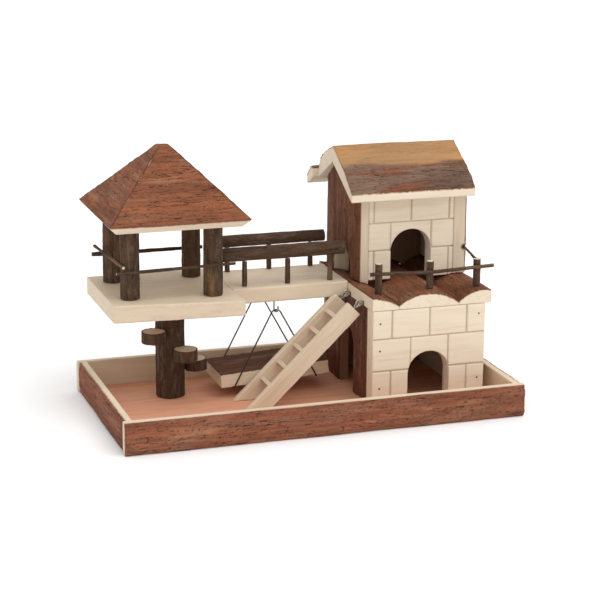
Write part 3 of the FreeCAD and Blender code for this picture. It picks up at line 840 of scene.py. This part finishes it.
def place(piece: bpy.types.Object, node_name: str, slot: str) -> None:
    """Puts a piece in its CAD node's stead.

    Args:
        piece: The new object.
        node_name: The CAD node it stands for.
        slot: The record's material slot; not used.
    """
    bodies = frame["record"]["behaviour"]["bodies"]
    body = next(name for name, nodes in bodies.items() if node_name in nodes)
    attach(piece, body)
    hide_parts(node_name)
    LOG.info("%s on %s, %d corners", piece.name, body, len(piece.data.vertices))


def carve(cut: Cut) -> None:
    """Builds a carved piece and puts it in place.

    Args:
        cut: What to carve.
    """
    slot = "pale_board"
    if cut.skin is Skin.ROUND:
        slot = "branch"
    elif cut.skin is not Skin.NONE:
        slot = "bark_board"
    place(cut.build(), cut.node_name, slot)


def coat(node_name: str, finish: Finish) -> None:
    """Gives a CAD node a finish as it stands.

    Args:
        node_name: The CAD node.
        finish: Its finish.
    """
    mesh = frame["nodes"][node_name].data
    mesh.materials.clear()
    mesh.materials.append(material_of(finish))
    LOG.info("%s keeps its own shape", node_name)


@dataclass
class Tray:
    """The open tray with its bark-faced boards; the mesh size is in millimetres."""

    board_mesh: float = 1.2

    def build(self) -> None:
        """Carves the boards and stains the floor."""
        coat("base_plate", FLOOR)
        coat("nails", NAIL)
        faces = {
            "front": (Skin.FRONT, BOARD_ALONG), "back": (Skin.BACK, BOARD_ALONG),
            "left": (Skin.LEFT, BOARD_DEEP), "right": (Skin.RIGHT, BOARD_DEEP),
        }
        for side, (skin, finish) in faces.items():
            carve(Cut("tray_%s_board" % side, finish, skin, FLAKY, self.board_mesh))


@dataclass
class Tower:
    """The roofed tower on its trunk; mesh sizes are in millimetres."""

    post_mesh: float = 1.0
    disc_mesh: float = 0.8
    twig_mesh: float = 0.45
    roof_mesh: float = 1.1

    def build(self) -> None:
        """Carves the whole tower from the trunk up."""
        self.carve_trunk()
        self.carve_platform()
        self.carve_roof()

    def carve_trunk(self) -> None:
        """Carves the trunk and its step discs."""
        carve(Cut("tower_trunk", BRANCH_UP, Skin.ROUND, SMOOTH_BARK, self.post_mesh))
        for step in ("upper", "middle", "lower"):
            carve(Cut("step_disc_" + step, BRANCH_UP, Skin.ROUND, SMOOTH_BARK, self.disc_mesh))

    def carve_platform(self) -> None:
        """Carves the platform with its posts and twigs."""
        carve(Cut("tower_platform", BOARD_ALONG))
        for corner in ("front_left", "front_right", "back_left", "back_right"):
            label = "tower_post_" + corner
            carve(Cut(label, BRANCH_UP, Skin.ROUND, SMOOTH_BARK, self.post_mesh))
        twigs = {"front": BRANCH_ALONG, "back": BRANCH_ALONG, "left": BRANCH_DEEP}
        for side, finish in twigs.items():
            carve(Cut("tower_rail_" + side, finish, Skin.ROUND, TWIG_BARK, self.twig_mesh))

    def carve_roof(self) -> None:
        """Carves the four roof panels, their fibres level along each eave."""
        panels = {
            "front": ROOF_ALONG, "back": ROOF_ALONG, "left": ROOF_DEEP, "right": ROOF_DEEP}
        for side, finish in panels.items():
            carve(Cut("tower_roof_" + side, finish, Skin.TOP, ROOF_BARK, self.roof_mesh))


@dataclass
class Bridge:
    """The deck with its branch rails; mesh sizes are in millimetres."""

    rail_mesh: float = 0.8
    post_mesh: float = 0.5

    def build(self) -> None:
        """Carves the deck, rails and posts."""
        carve(Cut("bridge_deck", BOARD_ALONG))
        for side in ("front", "back"):
            carve(Cut("bridge_rail_" + side, BRANCH_ALONG, Skin.ROUND, RAIL_BARK, self.rail_mesh))
            carve(Cut("bridge_posts_" + side, BRANCH_UP, Skin.ROUND, TWIG_BARK, self.post_mesh))


@dataclass
class Swing:
    """The board swing on its wires; the mesh size is in millimetres."""

    board_mesh: float = 1.0

    def build(self) -> None:
        """Carves the board and coats the wires and hooks."""
        carve(Cut("swing_board", SWING_ALONG, Skin.TOP, SWING_BARK, self.board_mesh))
        for side in ("front", "back"):
            coat("swing_wire_" + side, WIRE)
        coat("swing_hooks", BRIGHT)


@dataclass
class Ladder:
    """The hinged ladder; mesh sizes are in millimetres."""

    rungs: int = 5
    stile_mesh: float = 0.8
    rung_mesh: float = 0.6

    def build(self) -> None:
        """Carves the stiles and rungs and coats the eyes."""
        for side in ("front", "back"):
            carve(Cut("ladder_stile_" + side, BOARD_LADDER, voxel=self.stile_mesh))
        for step in range(1, self.rungs + 1):
            carve(Cut("ladder_rung_%d" % step, BOARD_DEEP, voxel=self.rung_mesh))
        coat("ladder_eyes", BRIGHT)
        coat("house_eyes", BRIGHT)


@dataclass(frozen=True)
class BrickPattern:
    """Saw cuts in a front wall that look like stonework, in millimetres."""

    face: float
    courses: tuple[float, ...]
    joints: tuple[tuple[float, ...], ...]
    top: float
    bottom: float
    width: float = 0.8
    depth: float = 1.6
    reach: float = 1.2
    floor_share: float = 0.5
    lip_share: float = 1.1

    def __call__(self, spot: Vector) -> float:
        """Depth of the saw cuts at a place.

        Args:
            spot: The place in millimetres.

        Returns:
            How far the surface sinks.
        """
        if spot.y > self.face + self.reach:
            return 0.0
        near = min(abs(spot.z - course) for course in self.courses)
        levels = (self.top, *self.courses, self.bottom)
        for row, joints in enumerate(self.joints):
            if levels[row + 1] < spot.z < levels[row]:
                near = min([near] + [abs(spot.x - joint) for joint in joints])
        lip = smooth(self.width * self.floor_share, self.width * self.lip_share, near)
        return self.depth * (1.0 - lip)


@dataclass
class House:
    """The two-storey house with its balcony; sizes are in millimetres."""

    lower_bricks: BrickPattern = BrickPattern(
        face=-62.0, courses=(84.0, 47.5), top=117.0, bottom=6.0,
        joints=((89.0, 133.4, 177.2), (111.2, 155.5), (88.1, 178.0)))
    upper_bricks: BrickPattern = BrickPattern(
        face=12.2, courses=(196.8, 165.0), top=236.0, bottom=130.0,
        joints=((94.0, 138.6, 184.5), (114.0, 163.0), (94.4, 184.3)))
    bare_from: float = 257.0
    bare_border: float = 5.0
    wander: float = 5.0
    wander_along: float = 50.0
    wander_up: float = 100.0 / 3.0
    brick_mesh: float = 0.9
    slab_mesh: float = 1.0
    roof_mesh: float = 1.1
    post_mesh: float = 0.5
    front_twig_mesh: float = 0.45
    side_twig_mesh: float = 0.4

    def build(self) -> None:
        """Carves the whole house."""
        self.carve_walls()
        self.carve_balcony()
        self.carve_roof()

    def carve_walls(self) -> None:
        """Carves the brick-patterned fronts and the bark-faced walls."""
        bricks = {"lower": self.lower_bricks, "upper": self.upper_bricks}
        for storey, pattern in bricks.items():
            label = storey + "_front_wall"
            carve(Cut(label, WALL_ALONG, voxel=self.brick_mesh, groove=pattern))
        # The lower left wall takes the painted-shade wood: its sawn faces are painted dark brown as
        # shade.
        carve(Cut("lower_left_wall", WALL_PAINTED_SHADE, Skin.LEFT, FLAKY))
        carve(Cut("upper_left_wall", WALL_UP, Skin.LEFT, FLAKY))
        for storey in bricks:
            carve(Cut(storey + "_right_wall", WALL_UP, Skin.RIGHT, FLAKY))
            # The back walls take the painted-shade wood: their sawn faces are painted dark brown as
            # shade.
            carve(Cut(storey + "_back_wall", WALL_PAINTED_SHADE, Skin.BACK, FLAKY))

    def carve_balcony(self) -> None:
        """Carves the slabs and the railing."""
        for part in ("left", "middle", "right"):
            carve(Cut("balcony_slab_" + part, BALCONY_DEEP, Skin.TOP, FLAKY, self.slab_mesh))
            carve(Cut("balcony_post_" + part, BRANCH_UP, Skin.ROUND, TWIG_BARK, self.post_mesh))
        carve(Cut(
            "balcony_rail_front", BRANCH_ALONG, Skin.ROUND, TWIG_BARK, self.front_twig_mesh))
        carve(Cut(
            "balcony_rail_side", BRANCH_DEEP, Skin.ROUND, TWIG_BARK, self.side_twig_mesh))

    def carve_roof(self) -> None:
        """Carves the roof slab and the back planks."""
        for part in ("front", "back_upper", "back_lower"):
            label = "roof_slab_" + part
            carve(Cut(label, HOUSE_ROOF, Skin.TOP, ROOF_BARK, self.roof_mesh, bare=self.bare))

    def bare(self, spot: Vector) -> float:
        """How much the outer bark is missing near the ridge.

        Args:
            spot: The place in millimetres.

        Returns:
            A share from 0 to 1.
        """
        shifted = Vector((spot.x / self.wander_along, 0.0, spot.z / self.wander_up))
        height = spot.z + noise.noise(shifted) * self.wander
        return smooth(self.bare_from, self.bare_from + self.bare_border, height)


@dataclass
class Studio:
    """Floor, light and camera."""

    azimuth: float = -18.6197
    elevation: float = 14.9957
    roll: float = 0.4417
    distance: float = 2.077944
    target: tuple[float, float, float] = (0.003232, 0.0, 0.119074)
    focal_pixels: float = 1880.418
    image_pixels: float = 600.0
    sensor: float = 36.0
    sight_limit: float = 60.0
    dome: float = 0.9
    dome_colour: tuple[float, float, float, float] = (1.0, 1.0, 1.0, 1.0)
    key: float = 1.25
    key_spread: float = 50.0
    key_toward: tuple[float, float, float] = (0.28, -0.42, 1.1)
    floor_size: float = 40.0
    floor_drop: float = 0.0002
    floor_colour: tuple[float, float, float, float] = (0.93, 0.93, 0.93, 1.0)
    floor_roughness: float = 0.9

    def build(self) -> None:
        """Sets up the whole studio."""
        self.add_floor()
        self.add_light()
        self.add_camera()

    def add_floor(self) -> None:
        """Lays a plain white floor under the tray."""
        bpy.ops.mesh.primitive_plane_add(size=self.floor_size, location=(0.0, 0.0, -self.floor_drop))
        floor = bpy.context.object
        floor.name = "studio_floor"
        floor.data.materials.append(Recipe("studio_white").surface({
            "Base Color": self.floor_colour, "Roughness": self.floor_roughness}))

    def add_light(self) -> None:
        """Adds an even white surround and one soft key light."""
        world = bpy.data.worlds.new("studio_surround")
        bpy.context.scene.world = world
        world.use_nodes = True
        surround = world.node_tree.nodes["Background"]
        surround.inputs["Color"].default_value = self.dome_colour
        surround.inputs["Strength"].default_value = self.dome
        sun = bpy.data.lights.new("key_light", "SUN")
        sun.energy = self.key
        sun.angle = math.radians(self.key_spread)
        holder = bpy.data.objects.new("key_light", sun)
        bpy.context.scene.collection.objects.link(holder)
        holder.rotation_mode = "QUATERNION"
        holder.rotation_quaternion = Vector(self.key_toward).to_track_quat("Z", "Y")

    def add_camera(self) -> None:
        """Puts the camera where the photograph was taken from."""
        turn = math.radians(self.azimuth)
        lift = math.radians(self.elevation)
        tip = math.radians(self.roll)
        back = Vector((
            math.sin(turn) * math.cos(lift), -math.cos(turn) * math.cos(lift), math.sin(lift)))
        right = Vector((math.cos(turn), math.sin(turn), 0.0))
        up = back.cross(right)
        rolled_right = right * math.cos(tip) + up * math.sin(tip)
        rolled_up = up * math.cos(tip) - right * math.sin(tip)
        lens = bpy.data.cameras.new("studio_camera")
        lens.sensor_width = self.sensor
        lens.lens = self.focal_pixels * self.sensor / self.image_pixels
        lens.clip_end = self.sight_limit
        camera = bpy.data.objects.new("studio_camera", lens)
        bpy.context.scene.collection.objects.link(camera)
        turned = Matrix((rolled_right, rolled_up, back)).transposed().to_4x4()
        spot = Vector(self.target) + back * self.distance
        camera.matrix_world = Matrix.Translation(spot) @ turned
        bpy.context.scene.camera = camera


def main() -> None:
    """Builds every sub-assembly, then the studio."""
    logging.basicConfig(level=logging.INFO, format="%(message)s")
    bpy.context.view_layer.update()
    for assembly in (Tray(), Tower(), Bridge(), Swing(), Ladder(), House(), Studio()):
        assembly.build()
        LOG.info("built %s", type(assembly).__name__)
    scene = bpy.context.scene
    scene.view_settings.view_transform = "Standard"


if __name__ == "__main__":
    main()
